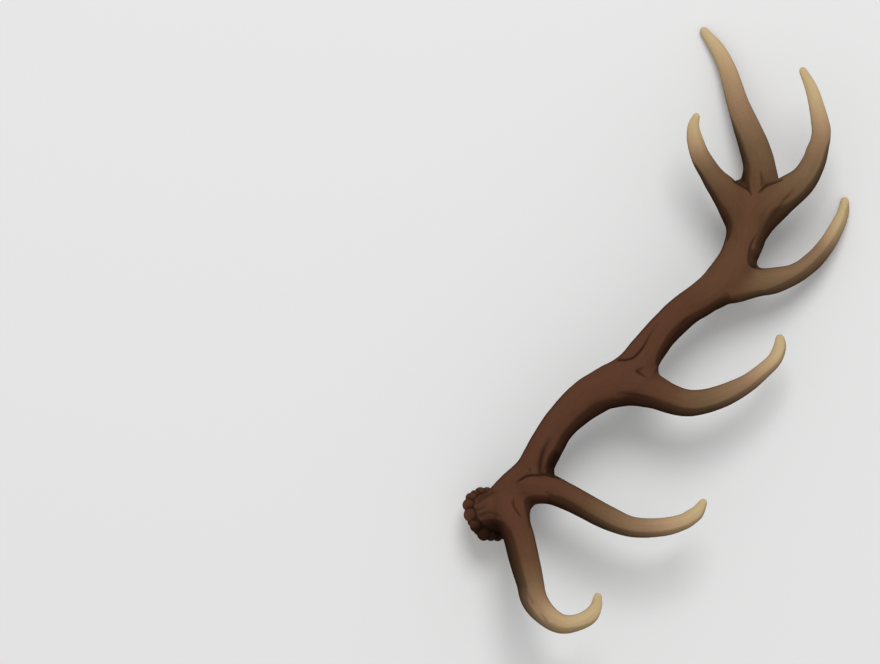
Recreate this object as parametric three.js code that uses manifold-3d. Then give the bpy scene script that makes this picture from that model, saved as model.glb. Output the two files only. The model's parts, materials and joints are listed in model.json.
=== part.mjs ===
// A shed antler of a red deer stag, the right-hand one of a pair, lying on a level surface.
//
// Units are millimetres. X runs to the antler's outer side, Y from the burr to the crown and Z up from
// the surface. The antler lies on the rim of its burr, the tip of its royal tine and the tip of the
// middle crown tine. The origin is under the middle of its bounding box, on the surface.

import * as THREE from 'three';
import { mergeVertices } from 'three/addons/utils/BufferGeometryUtils.js';
import Module from 'manifold-3d';

const wasm = await Module();
wasm.setup();

// ---- Driving dimensions ----

// Clearance that is kept where a tine grows out of the beam or passes close to another tine.
const FORK_GAP = 0.35;

// The burr is a thick ring of knobs round the foot of the beam, and the pedicle face is the flat seat
// below it, where the antler sat on the skull.
const BURR_RING_RADIUS = 32.5;
const BURR_RING_THICKNESS = 10;
const BURR_HEIGHT = 9;
const BURR_KNOB_COUNT = 18;
const BURR_KNOB_RADIUS = 6.2;
const BURR_KNOB_VARIATION = 0.9;
const BURR_KNOB_SIDES = 7;
const BURR_KNOB_RINGS = 5;

// Lengthwise ridges that the blood vessels of the velvet left on the bone.
const BEAM_RIDGES = 7;
const BEAM_RIDGE_DEPTH = 0.035;
const BEAM_RIDGE_TWIST = 1.4;
const TINE_RIDGES = 4;
const TINE_RIDGE_DEPTH = 0.03;
const TINE_RIDGE_TWIST = 0.6;

// How finely each limb is faceted.
const BEAM_SIDES = 24;
const BEAM_RINGS = 44;
const TINE_SIDES = 14;
const TINE_RINGS = 18;
const CAP_RINGS = 3;

// A limb is a list of stations along its centre line: [x, y, z, half width], and its depth is a
// share of its width.
const LIMBS = {
  beam: {
    depth: 0.94,
    cap: 0.7,
    stations: [
      [-216, -238, 26, 24.5],
      [-194.5, -218, 49, 23.8],
      [-179, -200, 62, 23],
      [-156, -178, 72, 21.5],
      [-139, -148.5, 79, 21.5],
      [-125, -124, 82.5, 20.8],
      [-105.5, -102.5, 86, 22.3],
      [-80.5, -82.5, 88, 25],
      [-54, -67, 89, 25.5],
      [-25.5, -45.5, 88, 23.4],
      [-9.5, -23, 86.5, 21.5],
      [8, -2, 84, 20],
      [34.5, 23.5, 81, 21],
      [64, 43, 78, 22.3],
      [89, 67, 75, 23.8],
      [106, 95, 71, 24],
      [112, 121, 67, 26],
      [114.5, 144, 63, 28],
      [117, 158, 60, 28],
    ],
  },
  brow_tine: {
    depth: 0.95,
    cap: 1.1,
    stations: [
      [-189, -204, 58, 19],
      [-180.5, -228, 76, 21],
      [-176.5, -245, 86.5, 19.3],
      [-170.5, -262, 95, 19.9],
      [-164, -295, 108, 18],
      [-158, -317, 114, 16.8],
      [-152.5, -338, 119, 16.3],
      [-139, -356, 123, 14],
      [-120, -367.5, 126, 12.3],
      [-101, -366.5, 128, 10.6],
      [-83.5, -358, 130, 9.6],
      [-75.5, -345.5, 132, 7.4],
      [-74, -334, 134, 5.2],
    ],
  },
  bez_tine: {
    depth: 0.95,
    cap: 1.1,
    stations: [
      [-172, -192, 70, 18],
      [-152, -196.5, 82, 22],
      [-131.5, -201, 89, 19.5],
      [-107.5, -211, 95, 17.3],
      [-58, -237, 101, 14.7],
      [-32, -246, 102, 12.5],
      [-8, -248, 102, 11.4],
      [17, -245, 101, 10.9],
      [35.5, -239, 100, 10],
      [43, -234, 99.5, 9.6],
      [50.5, -228.5, 99, 8.4],
      [57.5, -217, 99, 5.4],
    ],
  },
  trez_tine: {
    depth: 0.95,
    cap: 1.1,
    stations: [
      [-60, -75.5, 88, 23],
      [-32, -71, 90, 23.5],
      [-8, -76, 92, 22],
      [4, -81, 92.5, 19.8],
      [15, -86, 93, 18.5],
      [36, -91.5, 93, 16.8],
      [61, -89.5, 91, 15.1],
      [87, -81, 88, 13.7],
      [111.5, -68.5, 84, 11.4],
      [131, -53.5, 80, 10],
      [148, -36.5, 76, 9],
      [154.5, -21, 73, 8],
      [154.5, -12, 71, 5.8],
    ],
  },
  royal_tine: {
    depth: 0.95,
    cap: 1.1,
    stations: [
      [77, 50, 77, 19.5],
      [99, 54.5, 70, 21],
      [124, 59, 64, 18.3],
      [149, 62, 56, 16],
      [175, 71, 46, 12.4],
      [196, 87, 36, 11.6],
      [213.5, 107.5, 26, 10.3],
      [226, 129, 17, 9.1],
      [234, 148, 9, 7.2],
      [236, 160, 5.4, 5.5],
    ],
  },
  crown_tine_back: {
    depth: 0.92,
    cap: 1.1,
    stations: [
      [120, 150, 54, 17],
      [128, 178, 47, 24.5],
      [128.5, 205, 41, 20.3],
      [121.5, 230, 36, 19.2],
      [102.5, 280, 25, 14],
      [86.5, 330, 15, 10.6],
      [75, 352, 10, 9],
      [60, 372, 5.2, 5.5],
    ],
  },
  crown_tine_inner: {
    depth: 0.92,
    cap: 1.1,
    stations: [
      [107, 138, 67, 19.5],
      [97, 156, 74, 20],
      [84, 175, 80, 18],
      [76, 184, 83.5, 15.7],
      [68.5, 194.5, 87, 13.6],
      [54.5, 218, 94, 11.7],
      [47.5, 241, 100, 9.6],
      [46, 255, 104, 7],
      [49, 265, 107, 5],
    ],
  },
  crown_tine_outer: {
    depth: 0.92,
    cap: 1.1,
    stations: [
      [120, 122, 66, 18],
      [138, 149, 75, 22.5],
      [162, 169, 82, 20],
      [183, 186.5, 88, 17],
      [197.5, 210.5, 94, 14.4],
      [201.5, 223.5, 97, 13.4],
      [205, 236, 99, 12],
      [206, 248, 101.5, 11.8],
      [204, 261, 103, 10.8],
      [194, 299, 108, 8],
      [183, 322, 110, 5],
    ],
  },
};

// ---- Shared shape helpers ----

const UP = new THREE.Vector3(0, 0, 1);

// The axes across a limb at one place: `side` is level, and `rise` is square to it and to the limb.
function crossAxes(tangent) {
  const side = new THREE.Vector3().crossVectors(tangent, UP).normalize();
  const rise = new THREE.Vector3().crossVectors(side, tangent).normalize();
  return { side, rise };
}

// A limb's centre line and its half sizes, which share one parameter.
function limbCurves(limb) {
  const centres = limb.stations.map(([x, y, z]) => new THREE.Vector3(x, y, z));
  const sizes = limb.stations.map(([, , , half]) => new THREE.Vector3(half, half * limb.depth, 0));
  return {
    path: new THREE.CatmullRomCurve3(centres),
    size: new THREE.CatmullRomCurve3(sizes),
  };
}

// Rings along a limb: evenly spaced along the centre line, then closer together over the rounded tip.
function limbRings(limb, ringCount) {
  const { path, size } = limbCurves(limb);
  const rings = [];
  for (let i = 0; i <= ringCount; i += 1) {
    const along = i / ringCount;
    const t = path.getUtoTmapping(along, null);
    const half = size.getPoint(t);
    rings.push({ centre: path.getPoint(t), tangent: path.getTangent(t), half, along });
  }
  const last = rings[rings.length - 1];
  for (let i = 1; i <= CAP_RINGS; i += 1) {
    const angle = (i / (CAP_RINGS + 1)) * (Math.PI / 2);
    const reach = last.half.x * limb.cap * Math.sin(angle);
    const centre = last.centre.clone().addScaledVector(last.tangent, reach);
    const half = last.half.clone().multiplyScalar(Math.cos(angle));
    rings.push({ centre, tangent: last.tangent, half, along: 1 });
  }
  const tip = last.centre.clone().addScaledVector(last.tangent, last.half.x * limb.cap);
  return { rings, tip };
}

// A closed limb: a lathe of unit radius whose rings are moved onto the limb's own rings.
function limbGeometry(limb, { sides, ringCount, ridges, ridgeDepth, ridgeTwist, grow }) {
  const { rings, tip } = limbRings(limb, ringCount);
  const profile = [new THREE.Vector2(0, 0)];
  rings.forEach((ring, index) => profile.push(new THREE.Vector2(1, index)));
  profile.push(new THREE.Vector2(0, rings.length));
  const geometry = new THREE.LatheGeometry(profile, sides);
  const position = geometry.attributes.position;
  const point = new THREE.Vector3();
  for (let v = 0; v < position.count; v += 1) {
    point.fromBufferAttribute(position, v);
    const level = Math.round(point.y);
    if (level === rings.length) {
      point.copy(tip);
    } else {
      const ring = rings[level];
      const { side, rise } = crossAxes(ring.tangent);
      const angle = Math.atan2(point.z, point.x);
      const groove = Math.cos(ridges * (angle + ridgeTwist * ring.along));
      const radius = Math.hypot(point.x, point.z) * (1 + ridgeDepth * groove);
      const across = radius * Math.cos(angle) * (ring.half.x + grow);
      const upward = radius * Math.sin(angle) * (ring.half.y + grow);
      point.copy(ring.centre).addScaledVector(side, across).addScaledVector(rise, upward);
    }
    position.setXYZ(v, point.x, point.y, point.z);
  }
  return geometry;
}

// A geometry as a solid that can be joined and cut.
function toSolid(geometry) {
  const bare = geometry.clone();
  bare.deleteAttribute('normal');
  bare.deleteAttribute('uv');
  const merged = mergeVertices(bare);
  const index = merged.index.array;
  const triVerts = [];
  for (let i = 0; i < index.length; i += 3) {
    const [a, b, c] = [index[i], index[i + 1], index[i + 2]];
    if (a !== b && b !== c && c !== a) {
      triVerts.push(a, b, c);
    }
  }
  const vertProperties = new Float32Array(merged.attributes.position.array);
  const mesh = new wasm.Mesh({ numProp: 3, vertProperties, triVerts: new Uint32Array(triVerts) });
  return new wasm.Manifold(mesh);
}

// A solid as a geometry again.
function toGeometry(solid) {
  const mesh = solid.getMesh();
  const geometry = new THREE.BufferGeometry();
  geometry.setAttribute('position', new THREE.Float32BufferAttribute(mesh.vertProperties, 3));
  geometry.setIndex(Array.from(mesh.triVerts));
  geometry.computeVertexNormals();
  return geometry;
}

// ---- The beam and its burr ----

function beamTube(grow) {
  return toSolid(limbGeometry(LIMBS.beam, {
    sides: BEAM_SIDES,
    ringCount: BEAM_RINGS,
    ridges: BEAM_RIDGES,
    ridgeDepth: BEAM_RIDGE_DEPTH,
    ridgeTwist: BEAM_RIDGE_TWIST,
    grow,
  }));
}

// The burr stands square to the foot of the beam, and its Y axis points up the beam.
function burrMatrix() {
  const { path } = limbCurves(LIMBS.beam);
  const tangent = path.getTangent(0);
  const { side, rise } = crossAxes(tangent);
  const centre = path.getPoint(0).addScaledVector(tangent, BURR_HEIGHT);
  return new THREE.Matrix4().makeBasis(side, tangent, rise).setPosition(centre);
}

function burrRing(grow) {
  const half = BURR_RING_THICKNESS / 2 + grow;
  const rim = BURR_RING_RADIUS + grow;
  const profile = [
    new THREE.Vector2(0, -half),
    new THREE.Vector2(rim - half, -half),
    new THREE.Vector2(rim, 0),
    new THREE.Vector2(rim - half, half),
    new THREE.Vector2(0, half),
  ];
  return toSolid(new THREE.LatheGeometry(profile, BEAM_SIDES).applyMatrix4(burrMatrix()));
}

// One knob of the burr, a little larger or smaller and higher or lower than the next.
function burrKnob(index, grow) {
  const angle = (index / BURR_KNOB_COUNT) * Math.PI * 2;
  const swell = Math.sin(index * 2.4);
  const lift = Math.cos(index * 1.7);
  const radius = BURR_KNOB_RADIUS + BURR_KNOB_VARIATION * swell + grow;
  const knob = new THREE.SphereGeometry(radius, BURR_KNOB_SIDES, BURR_KNOB_RINGS);
  const reach = BURR_RING_RADIUS + BURR_KNOB_VARIATION * lift;
  knob.rotateZ(lift);
  knob.translate(reach, BURR_KNOB_VARIATION * lift, 0);
  knob.rotateY(angle);
  return toSolid(knob.applyMatrix4(burrMatrix()));
}

function beamSolid(grow) {
  let solid = beamTube(grow).add(burrRing(grow));
  for (let i = 0; i < BURR_KNOB_COUNT; i += 1) {
    solid = solid.add(burrKnob(i, grow));
  }
  return solid;
}

// ---- The tines ----

function tineSolid(name, grow) {
  return toSolid(limbGeometry(LIMBS[name], {
    sides: TINE_SIDES,
    ringCount: TINE_RINGS,
    ridges: TINE_RIDGES,
    ridgeDepth: TINE_RIDGE_DEPTH,
    ridgeTwist: TINE_RIDGE_TWIST,
    grow,
  }));
}

// A tine is cut off at the beam's surface, and at each tine named here that grows beside it.
function cutTine(name, neighbours) {
  let solid = tineSolid(name, 0).subtract(beamSolid(FORK_GAP));
  for (const neighbour of neighbours) {
    solid = solid.subtract(tineSolid(neighbour, FORK_GAP));
  }
  return solid;
}

// ---- Materials ----

function boneMaterial(colour) {
  return new THREE.MeshStandardMaterial({ color: colour, roughness: 0.62, metalness: 0 });
}

const BEAM_COLOUR = 0x5f4231;
const TINE_COLOUR = 0x75583f;
const CROWN_COLOUR = 0x8a6b50;

// ---- The antler ----

const antler = new THREE.Group();
antler.name = 'antler';

function addPiece(name, solid, colour) {
  const mesh = new THREE.Mesh(toGeometry(solid), boneMaterial(colour));
  mesh.name = name;
  antler.add(mesh);
}

addPiece('beam', beamSolid(0), BEAM_COLOUR);
addPiece('brow_tine', cutTine('brow_tine', []), TINE_COLOUR);
addPiece('bez_tine', cutTine('bez_tine', ['brow_tine']), TINE_COLOUR);
addPiece('trez_tine', cutTine('trez_tine', []), TINE_COLOUR);
addPiece('royal_tine', cutTine('royal_tine', []), TINE_COLOUR);
addPiece('crown_tine_back', cutTine('crown_tine_back', []), CROWN_COLOUR);
addPiece('crown_tine_inner', cutTine('crown_tine_inner', ['crown_tine_back']), CROWN_COLOUR);
addPiece('crown_tine_outer', cutTine('crown_tine_outer', ['crown_tine_back', 'crown_tine_inner']), CROWN_COLOUR);

// The antler is moved so that the origin is under the middle of its bounding box.
const bounds = new THREE.Box3().setFromObject(antler);
const middle = bounds.getCenter(new THREE.Vector3());
antler.position.set(-middle.x, -middle.y, -bounds.min.z);
antler.updateMatrixWorld(true);

export default antler;
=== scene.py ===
"""A shed red deer antler, lying on a pale surface and seen from straight above.

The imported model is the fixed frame. The antler is one bone, so one seamless skin stands for all its
solids: limbs swept along their centre lines, a burr of knobs, one remesh over both, webs eased into
the forks, and then the creases, ridges and furrows that are carved into the bone.
"""

import json
import math

import bmesh
import bpy
import numpy as np
from bpy.props import FloatProperty, FloatVectorProperty, IntProperty, PointerProperty
from mathutils import Matrix, Vector


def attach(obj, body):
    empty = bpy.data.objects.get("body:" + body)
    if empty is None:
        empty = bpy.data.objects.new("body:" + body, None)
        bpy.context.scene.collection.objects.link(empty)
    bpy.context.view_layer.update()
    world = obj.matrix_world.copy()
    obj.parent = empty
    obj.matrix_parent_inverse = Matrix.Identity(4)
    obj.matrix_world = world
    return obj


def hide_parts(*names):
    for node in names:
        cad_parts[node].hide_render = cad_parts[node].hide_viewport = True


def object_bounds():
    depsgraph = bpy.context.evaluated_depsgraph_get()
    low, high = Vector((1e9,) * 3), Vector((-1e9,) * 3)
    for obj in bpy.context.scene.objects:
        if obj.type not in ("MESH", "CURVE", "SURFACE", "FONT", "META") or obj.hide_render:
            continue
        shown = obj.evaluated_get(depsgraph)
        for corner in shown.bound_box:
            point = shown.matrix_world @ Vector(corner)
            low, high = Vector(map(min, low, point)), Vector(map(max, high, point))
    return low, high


bl_info = {
    "name": "Red deer antler",
    "version": (1, 0, 0),
    "blender": (4, 5, 0),
    "location": "View3D > Sidebar > Antler",
    "description": "Builds a shed red deer antler and the plain stage it lies on",
    "category": "Add Mesh",
}

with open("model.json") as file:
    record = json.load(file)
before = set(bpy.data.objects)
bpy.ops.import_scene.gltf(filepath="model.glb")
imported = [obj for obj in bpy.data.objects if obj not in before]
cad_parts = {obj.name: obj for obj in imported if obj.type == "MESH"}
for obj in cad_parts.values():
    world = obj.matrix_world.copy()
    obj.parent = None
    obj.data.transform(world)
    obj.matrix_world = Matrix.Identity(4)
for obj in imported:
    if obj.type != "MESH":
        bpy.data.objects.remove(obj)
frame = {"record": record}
cad_low, cad_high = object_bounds()

MM = 0.001

# ---- The antler's own measures, in millimetres, as the solids have them ----

# Each limb is a list of stations along its centre line: (x, y, z, half width). `depth` is its
# thickness as a share of its width. `cap` is the length of its rounded end as a share of the last
# half width. `pale` says how far it has paled at some shares of its length. `dark` is the side
# that gets painted shade, 1 for right and -1 for left looking to the tip, and where that painted
# shade starts, as a share of the half width, at some shares of the length. Far above 1 there is none.
TIP_CAP = 1.1
LIMBS = {
    "beam": {
        "depth": 0.94,
        "cap": 0.7,
        "pale": [(0.68, 0.0), (0.85, 0.22), (1.0, 0.25)],
        "dark": (1, [
            (0.0, 3.0), (0.15, 3.0), (0.165, 0.4), (0.31, 0.38), (0.38, 0.3), (0.44, 0.52),
            (0.47, 0.9), (0.55, 0.9), (0.58, 0.55), (0.65, 0.3), (0.71, 0.47), (0.765, 0.5),
            (0.785, 3.0), (0.86, 3.0), (0.88, 0.5), (1.0, 0.45),
        ]),
        "stations": [
            (-216, -238, 26, 24.5), (-194, -218.5, 49, 23.3), (-178.6, -200.5, 62, 22.6),
            (-156, -178, 72, 21.5), (-139, -148.5, 79, 21.5), (-125, -124, 82.5, 20.8),
            (-105.5, -102.5, 86, 22.3), (-80.5, -82.5, 88, 25), (-54, -67, 89, 25.2),
            (-39.5, -56.5, 88.5, 22.8), (-25.5, -45.5, 88, 23.2), (-9.5, -23, 86.5, 21.5),
            (8, -2, 84, 20), (34.8, 23.4, 81, 20.3), (63.5, 43.8, 78, 21.4), (88.5, 67.5, 75, 23.3),
            (104.6, 95.5, 71, 23), (112.6, 121, 67, 25.4), (114.5, 144, 63, 28), (117, 158, 60, 28),
        ],
    },
    "brow_tine": {
        "depth": 0.95,
        "pale": [(0.22, 0.0), (0.38, 0.26), (0.51, 0.49), (0.65, 0.78), (0.78, 0.93), (0.85, 1.0)],
        "dark": (1, [
            (0.0, 3.0), (0.1, 1.6), (0.13, 1.1), (0.14, 0.92), (0.157, 0.79), (0.182, 0.55),
            (0.24, 0.3), (0.31, 0.24), (0.51, 0.21), (0.58, 0.42), (0.65, 0.42), (0.71, 0.2),
            (0.78, 0.28), (0.85, 0.46), (0.92, 1.0),
        ]),
        "stations": [
            (-189, -204, 58, 19), (-180.5, -228, 76, 21), (-176.5, -245, 86.5, 19.3),
            (-171.6, -262, 95, 18.9), (-163.6, -295, 108, 18.3), (-158, -317, 114, 16.8),
            (-152.5, -338, 119, 16.3), (-139, -355.7, 123, 14), (-120, -367.1, 126, 12.1),
            (-101, -366, 128, 10.3), (-83.8, -357.4, 130, 9.6), (-75.9, -345.3, 132, 7.3),
            (-74, -334, 134, 5.2),
        ],
    },
    "bez_tine": {
        "depth": 0.95,
        "pale": [
            (0.2, 0.0), (0.3, 0.16), (0.37, 0.3), (0.44, 0.4), (0.51, 0.5), (0.58, 0.56),
            (0.93, 1.0),
        ],
        "dark": (1, [
            (0.0, 3.0), (0.13, 2.0), (0.17, 0.35), (0.24, 0.1), (0.3, 0.13), (0.37, 0.24),
            (0.51, 0.33), (0.78, 0.36), (0.85, 0.4), (0.91, 0.56), (1.0, 0.6),
        ]),
        "stations": [
            (-172, -192, 70, 18), (-152, -195.8, 82, 21.3), (-131.5, -200.2, 89, 18.2),
            (-107.5, -211, 95, 16.2), (-58, -236.4, 101, 14.7), (-32, -246, 102, 12.8),
            (-8, -247.7, 102, 11.7), (17, -245, 101, 10.9), (35.5, -239, 100, 10),
            (43, -234, 99.5, 9.6), (50.5, -228.5, 99, 8.4), (57.5, -217, 99, 5.4),
        ],
    },
    "trez_tine": {
        "depth": 0.95,
        "pale": [
            (0.15, 0.0), (0.31, 0.25), (0.4, 0.37), (0.51, 0.48), (0.71, 0.69), (0.8, 0.82),
            (0.91, 1.0),
        ],
        "dark": (1, [
            (0.0, 0.45), (0.05, 0.46), (0.11, 0.34), (0.24, 0.24), (0.31, 0.21), (0.37, 0.29),
            (0.44, 0.37), (0.57, 0.34), (0.71, 0.26), (0.78, 0.26), (0.84, 0.39), (0.91, 0.53),
            (1.0, 0.8),
        ]),
        "stations": [
            (-60, -75.5, 88, 23), (-32, -71, 90, 23.5), (-8, -76, 92, 22), (4, -81, 92.5, 19.8),
            (15, -86, 93, 18.5), (36, -91.5, 93, 16.8), (61, -89.5, 91, 15.1), (87, -81, 88, 13.7),
            (111.5, -68.5, 84, 11.4), (131, -53.5, 80, 10), (148, -36.5, 76, 9),
            (154.1, -21, 73, 7.8), (154.2, -12, 71, 5.8),
        ],
    },
    "royal_tine": {
        "depth": 0.95,
        "pale": [
            (0.0, 0.26), (0.1, 0.36), (0.22, 0.47), (0.38, 0.53), (0.57, 0.59), (0.65, 0.68),
            (0.71, 0.78), (0.84, 0.97), (0.9, 1.0),
        ],
        "dark": (1, [
            (0.0, 0.49), (0.1, 0.46), (0.24, 0.5), (0.3, 0.34), (0.38, 0.14), (0.44, 0.06),
            (0.57, 0.03), (0.71, 0.08), (0.77, 0.18), (0.92, 0.18), (0.98, 0.9),
        ]),
        "stations": [
            (77, 50, 77, 19.5), (99, 53.6, 70, 20.2), (124, 58.2, 64, 17.4), (149, 61.8, 56, 15.8),
            (175.3, 70.6, 46, 12.4), (196.6, 86.5, 36, 11.6), (214.1, 107.1, 26, 10.3),
            (226.6, 128.8, 17, 9.1), (234.6, 147.8, 9, 7.2), (236, 160, 5.4, 5.5),
        ],
    },
    "crown_tine_back": {
        "depth": 0.92,
        "pale": [
            (0.0, 0.26), (0.12, 0.33), (0.24, 0.4), (0.31, 0.42), (0.39, 0.51), (0.5, 0.62),
            (0.64, 0.735), (0.77, 0.835), (0.84, 0.93), (0.92, 1.0),
        ],
        "dark": (-1, [
            (0.0, 3.0), (0.08, 2.0), (0.11, 0.46), (0.17, 0.44), (0.24, 0.56), (0.39, 0.6),
            (0.45, 0.7), (0.57, 1.0),
        ]),
        "stations": [
            (120, 150, 54, 17), (128.5, 178, 47, 24), (128.7, 205, 41, 20), (121.8, 230, 36, 18.7),
            (103.2, 280.3, 25, 13.8), (87.3, 330.3, 15, 10.4), (75.8, 352.4, 10, 8.8),
            (60.2, 373, 5.2, 5.4),
        ],
    },
    "crown_tine_inner": {
        "depth": 0.92,
        "pale": [
            (0.0, 0.2), (0.3, 0.3), (0.44, 0.41), (0.51, 0.465), (0.58, 0.56), (0.71, 0.75),
            (0.85, 0.94), (0.93, 1.0),
        ],
        "dark": (-1, [
            (0.0, 0.44), (0.11, 0.44), (0.24, 0.56), (0.38, 0.52), (0.58, 0.64), (0.66, 1.1),
        ]),
        "stations": [
            (105, 138, 67, 21), (96.3, 156, 74, 21), (83.4, 175, 80, 18), (75.4, 184, 83.5, 15.7),
            (67.9, 194.3, 87, 13.6), (53.9, 217.8, 94, 11.7), (46.9, 240.8, 100, 9.6),
            (46, 255, 104, 7), (49, 265, 107, 5),
        ],
    },
    "crown_tine_outer": {
        "depth": 0.92,
        "pale": [
            (0.0, 0.22), (0.11, 0.26), (0.26, 0.345), (0.38, 0.46), (0.5, 0.545), (0.64, 0.7),
            (0.85, 1.0),
        ],
        "dark": (1, [
            (0.0, 0.45), (0.11, 0.29), (0.18, 0.18), (0.21, 0.3), (0.25, 0.44), (0.31, 0.5),
            (0.38, 0.41), (0.51, 0.52), (0.58, 0.64), (0.66, 1.1),
        ]),
        "stations": [
            (120, 122, 66, 18), (137.6, 149.4, 75, 23.1), (161.4, 169.7, 82, 20.9),
            (183, 186.5, 88, 17), (197, 210.7, 94, 14.4), (200.8, 223.7, 97, 13.4),
            (204.3, 236, 99, 12), (205.4, 248, 101.5, 11.6), (203.3, 261, 103, 10.8),
            (193.6, 299, 108, 8), (182.4, 322.6, 110, 5),
        ],
    },
}

# Short bridges of bone that round off the forks and the neck, as stations (x, y, z, half width).
WEBS = {
    "bez and brow": [(-165, -219.5, 80, 9), (-158, -211.5, 82, 9)],
    "beam and bez": [(-136.5, -172, 79, 8), (-136.5, -187, 84, 8)],
    "beam and trez": [(-7, -40, 87, 9), (-6.5, -62, 91, 9)],
    "beam and royal": [(70.7, 33.3, 77, 9.6), (93, 44.2, 71, 9.6)],
    "crown stem": [(120.5, 109, 69, 11), (144, 142, 73, 11.5)],
    "inner and back": [(95, 177, 68, 8), (112, 181.5, 50, 8)],
    "outer and back": [(147, 180.5, 52, 6.5), (160, 180.5, 74, 6.5)],
    "royal crotch": [(119, 82.5, 66, 5), (125.3, 71, 64, 5)],
    "neck and brow": [(-213, -227, 47, 16), (-198, -222, 61, 17)],
    "neck and bez": [(-188, -216, 64, 19), (-166, -201, 78, 15)],
}

# Creases on the side that faces up: points (x, y) along each, its depth, half width and painted
# shade.
# Each fades over the shares of its length that FADES gives for its start and its end.
CREASES = {
    "over the bez root": ([
        (-176, -193), (-173, -189.5), (-168, -185.5), (-160, -182), (-150, -181.5), (-140, -180.2),
        (-134.5, -181.2), (-128.5, -182.8)], 2.2, 1.7, 0.9),
    "beam groove by the bez fork": ([
        (-146, -180.5), (-145.5, -167), (-141, -150), (-131, -133)], 1.6, 3.1, 0.8),
    "second groove by the bez fork": ([
        (-136, -181), (-134.5, -165.5), (-129.5, -150.5)], 1.4, 2.4, 0.7),
    "short groove by the bez fork": ([(-159, -172), (-158.5, -180)], 0.8, 1.4, 0.45),
    "between bez and brow": ([
        (-179, -210.5), (-179.3, -216.5), (-177, -223), (-173.5, -228),
        (-168, -236)], 1.4, 1.3, 0.8),
    "bez groove": ([(-140, -202.5), (-134, -205), (-129, -207.5)], 0.5, 1.6, 0.35),
    "brow groove": ([(-162, -325), (-158, -335), (-153, -345)], 0.5, 1.6, 0.4),
    "second brow groove": ([(-146, -353.5), (-141, -359), (-135, -365)], 0.5, 1.6, 0.4),
    "upper arm of the trez mark": ([(-25, -52.3), (-20.5, -49.5), (-15.5, -46.6)], 1.2, 1.5, 0.9),
    "lower arm of the trez mark": ([(-25, -52.3), (-18.5, -56.3), (-10, -60.5)], 1.4, 1.6, 1.0),
    "over the trez root": ([
        (-48, -38), (-39.5, -37.6), (-30, -35), (-22.7, -28.2), (-16.2, -19.8), (-11.4, -11),
        (-7, -3.6), (3.3, 8.8)], 2.0, 1.6, 0.9),
    "under the trez root": ([
        (-52, -79.2), (-38, -79.5), (-26.5, -81), (-6.5, -86.5)], 0.6, 2.0, 0.5),
    "upper beam groove": ([(28, 2), (33, 10), (39, 17)], 0.5, 1.8, 0.35),
    "fold of the royal fork": ([
        (126.5, 122), (121.5, 113.5), (117.5, 105.5), (115, 96), (114.5, 87), (117, 80.5),
        (123, 77)], 1.6, 1.4, 0.75),
    "inner crown fork": ([
        (98, 184.5), (104.5, 182), (110.5, 178.5), (114.5, 175), (117, 171.5),
        (118.8, 166)], 2.0, 1.4, 0.9),
    "outer crown fork": ([
        (155.5, 187.2), (150, 184.8), (145.4, 183.2), (140.8, 181.4), (135.5, 179.5),
        (131.5, 175.5), (128, 171.5), (125.5, 169)], 1.2, 1.4, 0.9),
    "left of the back tine hollow": ([
        (130, 200.5), (130.8, 191.5), (131.5, 182), (130.3, 176)], 0.8, 1.5, 0.4),
    "outer crown groove": ([
        (173, 176.5), (160.5, 163.5), (151.5, 151), (142, 138.5)], 0.9, 2.0, 0.5),
    "above the burr": ([
        (-229.5, -215.5), (-220.5, -211.5), (-208, -205.5), (-197, -202)], 0.8, 2.0, 0.45),
    "neck furrow": ([(-228.5, -219), (-222, -216.5), (-214.5, -212.5)], 0.4, 1.6, 0.3),
    "middle neck furrow": ([(-227, -227), (-221.5, -224.5), (-212, -220.5)], 0.5, 1.5, 0.5),
    "upper fold of the neck": ([
        (-225.5, -233.5), (-218.5, -232), (-211, -229), (-204, -229.5), (-197.5, -232.5),
        (-192, -238)], 0.7, 1.8, 0.4),
}
USUAL_FADE = (0.25, 0.25)
FADES = {
    "over the bez root": (0.25, 0), "beam groove by the bez fork": (0, 0.4),
    "second groove by the bez fork": (0, 0.4), "over the trez root": (0, 0.55),
    "fold of the royal fork": (0.25, 0), "inner crown fork": (0, 0.25),
    "outer crown fork": (0, 0.25), "upper arm of the trez mark": (0, 1),
    "lower arm of the trez mark": (0, 1),
}
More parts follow.
